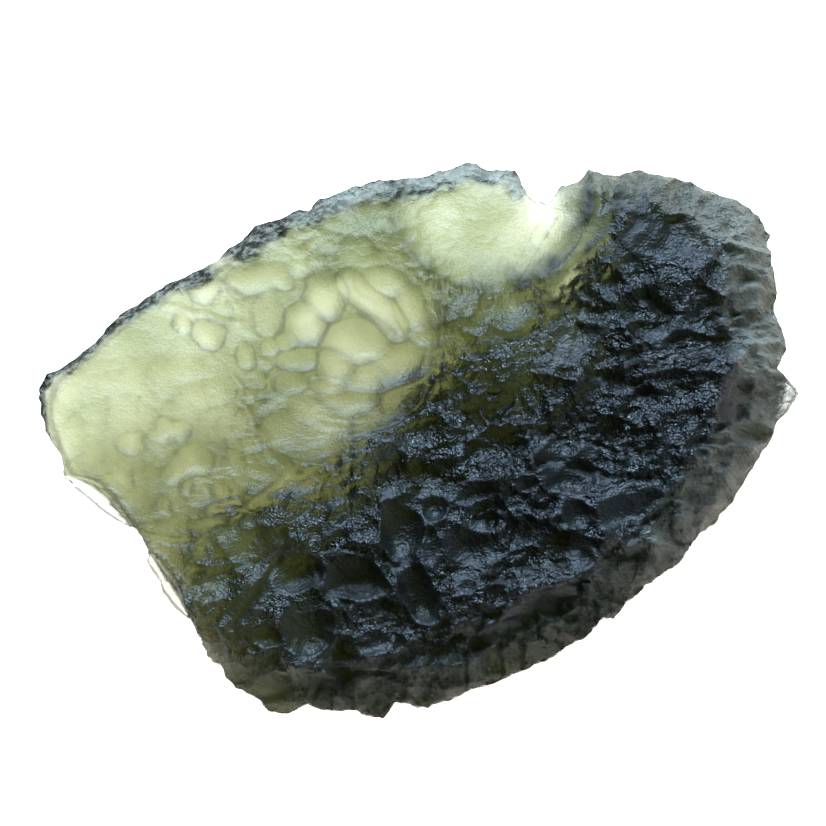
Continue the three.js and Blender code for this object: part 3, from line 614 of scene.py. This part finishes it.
def crustColumn(x, y, column):
    bearing = np.degrees(np.arctan2(y, x)) % 360
    stations = np.array(crustStations)
    return np.interp(bearing, stations[:, 0], stations[:, column])


def crustAt(x, y):  # how dark and crazed the broken edge is
    toEdge = distanceToLine(x, y, [tuple(p) for p in ring])
    amount, width = crustColumn(x, y, 1), crustColumn(x, y, 2)
    ragged = toEdge + 0.14 * softNoise(x, y, 0.5, 61.0) + 0.08 * softNoise(x, y, 0.2, 67.0)
    patchy = np.minimum(1 + 0.3 * softNoise(x, y, 0.7, 77.0), 1)
    return amount * patchy * (1 - smooth(ragged, width * 0.75, width * 1.25))


def bleachAt(x, y):  # how pale the crazed edge is
    pale = crustColumn(x, y, 3) * (1 + 0.7 * softNoise(x, y, 0.9, 87.0))
    return np.clip(np.where(onFlake(x, y), 1, pale), 0, 1)


def bulgeAt(x, y):  # a thin wall bulges less than a high one
    top, under, _ = macroAt(x, y)
    return stone["wallBulge"] * np.clip(top - np.maximum(under, 0) - 0.05, 0.1, 1)


def bareNormals(x, y, which):  # which is 0 for the top and 1 for the underside
    step = 0.4  # wide enough to round off the rims of the big hollows
    along = (macroAt(x + step, y)[which] - macroAt(x - step, y)[which]) / (2 * step)
    across = (macroAt(x, y + step)[which] - macroAt(x, y - step)[which]) / (2 * step)
    size = np.sqrt(1 + along**2 + across**2)
    facing = 1 if which == 0 else -1
    return np.stack([-along, -across, np.ones_like(x)], axis=1) * (facing / size)[:, None]


def sideEtch(x, y, z):  # bowls on the edge wall, laid out by the way round and the height
    around = np.arctan2(y, x) * stone["meanReach"]
    return sum(layer["depth"] * bowlLattice(around, z, layer, layer["turn"]) for layer in sideLayers)


def underEtch(x, y, full):
    thin = np.clip((full - 1) / 3, 0.2, 1)
    small = underside["fine"] * bowlLattice(x, y, etching["layers"][1], -20)
    return thin * (underPits(x, y) + small)


def etched(points, normals):  # where each point of the bare shape lies once the skin is etched
    x, y, z = points.T
    nz = normals[:, 2]
    top, under, full = macroAt(x, y)
    spare = np.maximum(top - np.maximum(under, 0) - stone["thinnest"], 0) * stone["spareShare"]
    up = smooth(nz, 0.2, 0.5)
    down = smooth(-nz, 0.2, 0.5)
    crumbs = sum(depth * bowlLattice(x, y, etching["layers"][k], turn)
                 for k, depth, turn in edgeCrumbs["layers"]) - edgeCrumbs["level"]
    bare = np.where(onFlake(x, y), stone["flakeEtch"], 1.0)
    depth = up * bare * np.minimum(etchDepth(x, y, full) + crustAt(x, y) * crumbs, spare)
    depth = depth + down * np.minimum(underEtch(x, y, full), spare)
    depth = depth + (1 - up - down) * np.minimum(sideEtch(x, y, z), spare)
    inner = stone["etchLean"] * smooth(insideEdge(x, y), 0.2, 1.6)[:, None]
    upright = np.stack([np.zeros_like(x), np.zeros_like(x), np.sign(nz)], axis=1)
    moved = points - (normals * inner + upright * (1 - inner)) * depth[:, None]
    moved[:, 2] = np.maximum(moved[:, 2], 0)
    return moved


def planPoints(u, v):  # a square's points drawn out to fill the outline, ring by ring
    out = np.maximum(np.abs(u), np.abs(v))
    safe = np.where(out == 0, 1, out)
    a = u / safe
    b = v / safe
    edge = 1 - 1e-6
    share = np.where(
        (a >= edge) & (b < edge), (b + 1) / 8,
        np.where((b >= edge) & (a > -edge), 0.25 + (1 - a) / 8,
                 np.where((a <= -edge) & (b > -edge), 0.5 + (1 - b) / 8, 0.75 + (a + 1) / 8)))
    x, y = outlinePoint(stone["gridTurn"] - share)
    return x * out, y * out


def addSkin(bm, cells, isTop):  # one skin of the stone, etched; returns its border edges
    made = bmesh.ops.create_grid(bm, x_segments=cells, y_segments=cells, size=1)["verts"]
    flat = np.array([v.co[:] for v in made])
    x, y = planPoints(flat[:, 0], flat[:, 1])
    onBorder = np.maximum(np.abs(flat[:, 0]), np.abs(flat[:, 1])) > 1 - 1e-5
    away = np.where(onBorder, 1 - bulgeAt(x, y) / np.maximum(np.hypot(x, y), 1), 1)
    x, y = x * away, y * away
    which = 0 if isTop else 1
    z = macroAt(x, y)[which]
    placed = etched(np.stack([x, y, z], axis=1), bareNormals(x, y, which))
    for vert, place in zip(made, placed):
        vert.co = place
    border = {e for v in made for e in v.link_edges if e.is_boundary}
    if not isTop:
        bmesh.ops.reverse_faces(bm, faces=list({f for v in made for f in v.link_faces}))
    return list(border)


def makeStone():
    bm = bmesh.new()
    topBorder = addSkin(bm, stone["topCells"], True)
    print("upper skin", len(bm.verts))
    underBorder = addSkin(bm, stone["underCells"], False)
    low = np.array([v.co[:] for v in {v for e in underBorder for v in e.verts}])
    bearings = np.arctan2(low[:, 1], low[:, 0])
    order = np.argsort(bearings)
    bearings, low = bearings[order], low[order]
    loop = topBorder
    upper = {}  # the place at the top of the wall that each wall point hangs below
    for row in range(1, stone["wallRows"]):
        made = bmesh.ops.extrude_edge_only(bm, edges=loop)["geom"]
        verts = [g for g in made if isinstance(g, bmesh.types.BMVert)]
        loop = [g for g in made if isinstance(g, bmesh.types.BMEdge) and g.is_boundary]
        high = np.array([v.co[:] for v in verts])
        if row > 1:
            high = np.array([upper[tuple(round(c, 5) for c in p)] for p in high])
        bearing = np.arctan2(high[:, 1], high[:, 0])
        foot = np.stack([np.interp(bearing, bearings, low[:, k], period=2 * math.pi) for k in range(3)], 1)
        down = row / stone["wallRows"]
        place = high + (foot - high) * down
        radius = np.hypot(place[:, 0], place[:, 1])
        bulge = bulgeAt(high[:, 0], high[:, 1]) * math.sin(math.pi * down)
        dent = sideEtch(place[:, 0], place[:, 1], place[:, 2]) * math.sin(math.pi * down)
        height = np.clip((high[:, 2] - foot[:, 2]) / 2, 0.1, 1)
        out = 1 + (bulge - dent * height) / radius
        place[:, :2] = place[:, :2] * out[:, None]
        upper = {}
        for v, p, h in zip(verts, place, high):
            v.co = p
            upper[tuple(round(c, 5) for c in v.co)] = h
    bmesh.ops.bridge_loops(bm, edges=loop + underBorder)
    bmesh.ops.recalc_face_normals(bm, faces=bm.faces)
    if bm.calc_volume(signed=True) < 0:
        bmesh.ops.reverse_faces(bm, faces=bm.faces)
    bmesh.ops.triangulate(bm, faces=bm.faces, quad_method="BEAUTY")
    bm.normal_update()
    points = np.array([v.co[:] for v in bm.verts])
    # how sharp each crest is, for the painted shade on crests
    sharp = {}
    for v in bm.verts:
        around = [e.other_vert(v).co for e in v.link_edges]
        middle = sum(around, Vector()) / len(around)
        sharp[v] = (v.co - middle).dot(v.normal) / (around[0] - v.co).length
    sharp = {v: 0.5 * sharp[v] + 0.5 * sum(sharp[e.other_vert(v)] for e in v.link_edges)
             / len(v.link_edges) for v in bm.verts}  # evens out the steps of the mesh
    x, y = points[:, 0], points[:, 1]
    # painted shade: the crease mark darkens the glass's colour in crevices, round the thin pits and along
    # the rim cracks
    marks = {"fresh": np.where(onFlake(x, y), 1.0, 0.0), "crust": crustAt(x, y),
             "hair": hairAt(x, y), "paintedCreaseShade": np.maximum(creasesAt(x, y)[1], pitEdgesAt(x, y)),
             "bleach": bleachAt(x, y), "rugged": ruggedAt(x, y), "crest": list(sharp.values())}
    for name, values in marks.items():
        layer = bm.verts.layers.float.new(name)
        for v, value in zip(bm.verts, values):
            v[layer] = value
    print("stone", len(bm.verts), "points", len(bm.faces), "faces,", round(bm.calc_volume()), "mm3")
    return bm


def intoPiece(name, bm, material):  # fits the shape to the frame's box and makes the object
    co = np.array([v.co[:] for v in bm.verts])
    low, high = co.min(0), co.max(0)
    boxLow, boxHigh = np.array(stoneBox[0]), np.array(stoneBox[1])
    grow = (boxHigh[:2] - boxLow[:2]) / (high[:2] - low[:2])
    for v in bm.verts:
        v.co.x = boxLow[0] + (v.co.x - low[0]) * grow[0]
        v.co.y = boxLow[1] + (v.co.y - low[1]) * grow[1]
        v.co.z = boxLow[2] + (v.co.z - low[2]) * mm
    mesh = bpy.data.meshes.new(name)
    bm.to_mesh(mesh)
    bm.free()
    for face in mesh.polygons:
        face.use_smooth = True
    mesh.materials.append(material)
    piece = bpy.data.objects.new(name, mesh)
    bpy.context.scene.collection.objects.link(piece)
    return piece


def linear(hexColour):  # an sRGB hex value as linear red, green, blue, alpha
    channels = [int(hexColour[i : i + 2], 16) / 255 for i in (1, 3, 5)]
    return [c / 12.92 if c <= 0.04045 else ((c + 0.055) / 1.055) ** 2.4 for c in channels] + [1]


def addNode(tree, kind, settings=None, values=None, links=None):
    node = tree.nodes.new(kind)
    for name, value in (settings or {}).items():
        setattr(node, name, value)
    for name, value in (values or {}).items():
        node.inputs[name].default_value = value
    for name, source in (links or {}).items():
        tree.links.new(source, node.inputs[name])
    return node


# Moldavite is a silica-rich natural glass, IOR about 1.49. Acid ground water has etched its skin
# to a fine satin, so its gloss is broad, and its iron gives the green that deepens with thickness.
glass = {
    "ior": 1.49,
    "roughLow": 0.3,
    "roughHigh": 0.45,
    "roughThin": 0.72,  # where the skin is only lightly etched its satin is finer and duller
    "roughCrust": 0.75,
    "roughFresh": 0.3,  # the two flaked ledges were never etched
    "satinStep": 0.4 * mm,
    "absorptionColour": "#A6AE69",
    "absorptionDensity": 1330.0,  # per metre
    "crustDark": "#262520",
    "crustPale": "#6E6B61",
    "crustBleached": "#928F82",
    "crustTint": "#A2D2C8",  # greener and darker towards the straight lower edge
    "flakeColour": "#E0E6EA",
    "flakeHaze": 0.12,  # the flaked ledges are fine-splintered and a little milky
    "crustMatte": 0.9,  # share of the crazed edge that is too broken up to see through
    "crestShade": 0.55,  # painted shade: sharp crests between the pits are drawn darker in the glass's colour
    "hairShade": 0.45,
    "hairStep": 0.13 * mm,
    "flowStep": 0.5 * mm,
    "flowDepth": 0.09 * mm,
    "pitStep": 0.32 * mm,
    "pitDepth": 0.085 * mm,
    "pinholeStep": 0.14 * mm,
    "pinholeDepth": 0.06 * mm,
    "grit": 0.09 * mm,  # the real grit is finer: drawn as coarse as it needs to show
    "gritHeight": 0.08 * mm,
    "gritLeast": 0.3,  # share of it on the lightly etched glass
    "crumbStep": 0.35 * mm,
    "crumbHeight": 0.4 * mm,
}


def mathNode(tree, operation, values=None, links=None):
    return addNode(tree, "ShaderNodeMath", {"operation": operation}, values, links).outputs["Value"]


def markOf(tree, name):  # one of the marks that the mesh carries on its points
    return addNode(tree, "ShaderNodeAttribute", {"attribute_name": name}).outputs["Fac"]


def ranged(tree, source, low, high, toLow=0.0, toHigh=1.0):
    limits = {"From Min": low, "From Max": high, "To Min": toLow, "To Max": toHigh}
    return addNode(tree, "ShaderNodeMapRange", {}, limits, {"Value": source}).outputs["Result"]


def noiseOf(tree, place, step, detail, settings=None, values=None):
    values = {"Scale": 1 / step, "Detail": detail, **(values or {})}
    return addNode(tree, "ShaderNodeTexNoise", settings, values, {"Vector": place}).outputs["Fac"]


def bowlsOf(tree, place, step):  # round bowls side by side, which run slanting down the edge wall
    cells = addNode(tree, "ShaderNodeTexVoronoi", {"voronoi_dimensions": "2D"}, {"Scale": 1 / step},
                    {"Vector": place})
    return mathNode(tree, "POWER", {1: 2.0}, {0: cells.outputs["Distance"]})


def bumped(tree, depth, strength, height, under=None):
    links = {"Strength": strength, "Height": height}
    if under is not None:
        links["Normal"] = under
    return addNode(tree, "ShaderNodeBump", {}, {"Distance": depth}, links).outputs["Normal"]


def mixedColour(tree, share, first, second, blend="MIX"):
    return addNode(tree, "ShaderNodeMix", {"data_type": "RGBA", "blend_type": blend},
                   {7: linear(second)}, {0: share, 6: first}).outputs[2]


def etchedGlass():
    material = bpy.data.materials.new("moldaviteGlassEtched")
    material.use_nodes = True
    tree = material.node_tree
    tree.nodes.clear()
    place = addNode(tree, "ShaderNodeTexCoord").outputs["Object"]
    crust, crest, hair, rugged, paintedCreaseShade, fresh, bleach = [
        markOf(tree, name) for name in ("crust", "crest", "hair", "rugged", "paintedCreaseShade", "fresh", "bleach")]

    patches = noiseOf(tree, place, glass["satinStep"], 1.0)
    satin = ranged(tree, patches, 0.35, 0.65, glass["roughLow"], glass["roughHigh"])
    dull = addNode(tree, "ShaderNodeMix", {}, {2: glass["roughThin"]}, {0: rugged, 3: satin})
    crazed = ranged(tree, crust, 0.65, 0.95)
    broken = mathNode(tree, "MAXIMUM", {}, {0: crazed, 1: paintedCreaseShade})
    rough = addNode(tree, "ShaderNodeMix", {}, {3: glass["roughCrust"]}, {0: broken, 2: dull.outputs[0]})
    gloss = addNode(tree, "ShaderNodeMix", {}, {3: glass["roughFresh"]}, {0: fresh, 2: rough.outputs[0]})

    turn = {"Rotation": (0.3, 0.2, math.radians(-etching["grain"])), "Scale": (0.8, 1.1, 1)}
    turned = addNode(tree, "ShaderNodeMapping", {}, turn, {"Vector": place}).outputs["Vector"]
    flow = noiseOf(tree, turned, glass["flowStep"], 2.0, {"noise_type": "RIDGED_MULTIFRACTAL"},
                   {"Roughness": 0.5})
    bowls = bowlsOf(tree, turned, glass["pitStep"])
    pinholes = bowlsOf(tree, turned, glass["pinholeStep"])
    crumbs = noiseOf(tree, place, glass["crumbStep"], 3.0)
    grit = noiseOf(tree, place, glass["grit"], 1.0)
    gritty = mathNode(tree, "MULTIPLY_ADD", {1: 1 - glass["gritLeast"], 2: glass["gritLeast"]}, {0: rugged})
    skin = bumped(tree, glass["flowDepth"], rugged, flow)
    skin = bumped(tree, glass["pitDepth"], rugged, bowls, skin)
    skin = bumped(tree, glass["pinholeDepth"], rugged, pinholes, skin)
    skin = bumped(tree, glass["crumbHeight"], crust, crumbs, skin)
    skin = bumped(tree, glass["gritHeight"], gritty, grit, skin)

    # painted shade takes a little off the glass's colour where its skin is creased or crested; the
    # scratched hair lines darken it too
    sharp = ranged(tree, crest, 0.02, 0.16, 1.0, glass["crestShade"])
    drawn = addNode(tree, "ShaderNodeMapping", {}, {"Scale": (1, 0.12, 0.3)}, {"Vector": place})
    hairs = noiseOf(tree, drawn.outputs["Vector"], glass["hairStep"], 1.0)
    dark = ranged(tree, hairs, 0.5, 0.62, 0.0, 1 - glass["hairShade"])
    cut = mathNode(tree, "MULTIPLY", {}, {0: dark, 1: hair})
    notCut = mathNode(tree, "SUBTRACT", {0: 1.0}, {1: cut})
    notCreaseShaded = mathNode(tree, "SUBTRACT", {0: 1.0}, {1: paintedCreaseShade})
    both = mathNode(tree, "MULTIPLY", {}, {0: notCut, 1: notCreaseShaded})
    paintedShadeAndHairs = mathNode(tree, "MULTIPLY", {}, {0: sharp, 1: both})
    clear = addNode(tree, "ShaderNodeCombineColor", {}, {}, {c: paintedShadeAndHairs for c in ("Red", "Green", "Blue")})
    shader = addNode(tree, "ShaderNodeBsdfPrincipled", {},
                     {"Transmission Weight": 1.0, "IOR": glass["ior"]},
                     {"Base Color": clear.outputs["Color"], "Roughness": gloss.outputs[0], "Normal": skin})

    # the crazed edge: dark and pale crumbs, greener low down, bleached in patches, milky ledges
    stony = addNode(tree, "ShaderNodeValToRGB", {}, {}, {"Fac": crumbs})
    for stop, name, at in zip(stony.color_ramp.elements, ("crustDark", "crustPale"), (0.42, 0.64)):
        stop.color = linear(glass[name])
        stop.position = at
    across = addNode(tree, "ShaderNodeSeparateXYZ", {}, {}, {"Vector": place}).outputs["Y"]
    shaded = ranged(tree, across, -2 * mm, -7 * mm)
    colour = mixedColour(tree, shaded, stony.outputs["Color"], glass["crustTint"], "MULTIPLY")
    colour = mixedColour(tree, bleach, colour, glass["crustBleached"])
    colour = mixedColour(tree, fresh, colour, glass["flakeColour"])
    crazedEdge = addNode(tree, "ShaderNodeBsdfDiffuse", {}, {}, {"Color": colour, "Normal": skin})
    milky = mathNode(tree, "MULTIPLY", {1: glass["flakeHaze"]}, {0: fresh})
    share = mathNode(tree, "MULTIPLY_ADD", {1: glass["crustMatte"]}, {0: crust, 2: milky})
    surface = addNode(tree, "ShaderNodeMixShader")
    tree.links.new(share, surface.inputs[0])
    tree.links.new(shader.outputs["BSDF"], surface.inputs[1])
    tree.links.new(crazedEdge.outputs["BSDF"], surface.inputs[2])
    depth = addNode(tree, "ShaderNodeVolumeAbsorption", {},
                    {"Color": linear(glass["absorptionColour"]), "Density": glass["absorptionDensity"]})
    addNode(tree, "ShaderNodeOutputMaterial", {}, {},
            {"Surface": surface.outputs["Shader"], "Volume": depth.outputs["Volume"]})
    return material


stonePiece = intoPiece("moldaviteStone", makeStone(), etchedGlass())
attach(stonePiece, "root")
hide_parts("moldavite")
print("stone made")

room = {
    "floorColour": "#A5A39B",
    "floorSize": 1.2,
    "floorGap": 0.02 * mm,
    "fibreStep": 0.625 * mm,
    "fibreHeight": 0.08 * mm,
    "worldColour": "#B4D6FA",
    "worldStrength": 0.06,
    "glowColour": "#FFF4E4",
    "viewGamma": 0.86,  # a slightly contrasty picture
    "floorGlow": 1.48,  # the sheet is thin and lit from below as well
    "keyColour": "#C6E3FF",
    "keySize": (0.36, 0.22),
    "lampDistance": 0.42,
    "keyElevation": 33,
    "keyAzimuth": 5,  # turned from +Y towards -X
    "keyRadiance": 39.5,
    "wallColour": "#D2ECFF",  # a pale wall on the blunt end's side
    "wallSize": (0.5, 0.25),
    "wallAzimuth": -132,
    "wallElevation": 22,
    "wallRadiance": 2.6,
    "cameraElevation": 87.0,
    "cameraDistance": 0.22,
    "frameWidth": 0.03723,
    "sensorWidth": 36,
    "aimX": -0.00027,
    "aimY": 0.00125,
    "aimZ": 0.004,
}


def paperFloor():
    material = bpy.data.materials.new("paperWhiteMatte")
    material.use_nodes = True
    tree = material.node_tree
    shader = tree.nodes["Principled BSDF"]
    place = addNode(tree, "ShaderNodeTexCoord").outputs["Object"]
    fibre = noiseOf(tree, place, room["fibreStep"], 4.0)
    bump = addNode(tree, "ShaderNodeBump", {}, {"Strength": 0.3, "Distance": room["fibreHeight"]},
                   {"Height": fibre})
    tree.links.new(bump.outputs["Normal"], shader.inputs["Normal"])
    shader.inputs["Base Color"].default_value = linear(room["floorColour"])
    shader.inputs["Roughness"].default_value = 0.9
    shader.inputs["Emission Color"].default_value = linear(room["glowColour"])
    shader.inputs["Emission Strength"].default_value = room["floorGlow"]
    return material


def makeFloor():
    bm = bmesh.new()
    bmesh.ops.create_grid(bm, x_segments=1, y_segments=1, size=room["floorSize"] / 2)
    for v in bm.verts:
        v.co.z = -room["floorGap"]
    mesh = bpy.data.meshes.new("paperSheet")
    bm.to_mesh(mesh)
    bm.free()
    mesh.materials.append(paperFloor())
    floor = bpy.data.objects.new("paperSheet", mesh)
    bpy.context.scene.collection.objects.link(floor)


def aimAt(thing, target):
    thing.rotation_euler = (target - thing.location).to_track_quat("-Z", "Y").to_euler()


def softLamp(name, size, colour, radiance, azimuth, elevation):
    lamp = bpy.data.lights.new(name, "AREA")
    lamp.shape = "RECTANGLE"
    lamp.size, lamp.size_y = size
    lamp.energy = radiance * math.pi * lamp.size * lamp.size_y
    lamp.color = linear(colour)[:3]
    window = bpy.data.objects.new(name, lamp)
    up = math.radians(elevation)
    turn = math.radians(azimuth)  # turned from +Y towards -X
    level = room["lampDistance"] * math.cos(up)
    height = room["lampDistance"] * math.sin(up)
    window.location = (-level * math.sin(turn), level * math.cos(turn), height)
    aimAt(window, Vector((0, 0, 0)))
    bpy.context.scene.collection.objects.link(window)


def makeLights():
    world = bpy.data.worlds.new("paleRoom")
    bpy.context.scene.world = world
    world.use_nodes = True
    background = world.node_tree.nodes["Background"]
    background.inputs["Color"].default_value = linear(room["worldColour"])
    background.inputs["Strength"].default_value = room["worldStrength"]
    facts = ("Size", "Colour", "Radiance", "Azimuth", "Elevation")
    for name, kind in (("softWindow", "key"), ("paleWall", "wall")):
        softLamp(name, *(room[kind + fact] for fact in facts))


def makeCamera():
    data = bpy.data.cameras.new("closeUp")
    data.sensor_width = room["sensorWidth"]
    data.sensor_fit = "HORIZONTAL"
    data.lens = room["sensorWidth"] * room["cameraDistance"] / room["frameWidth"]
    data.clip_start = 0.01
    camera = bpy.data.objects.new("closeUp", data)
    up = math.radians(room["cameraElevation"])
    target = Vector((room["aimX"], room["aimY"], room["aimZ"]))
    camera.location = target + room["cameraDistance"] * Vector((0, -math.cos(up), math.sin(up)))
    aimAt(camera, target)
    bpy.context.scene.collection.objects.link(camera)
    bpy.context.scene.camera = camera


makeFloor()
makeLights()
makeCamera()
bpy.context.scene.view_settings.view_transform = "Standard"
bpy.context.scene.view_settings.gamma = room["viewGamma"]
print("room made")
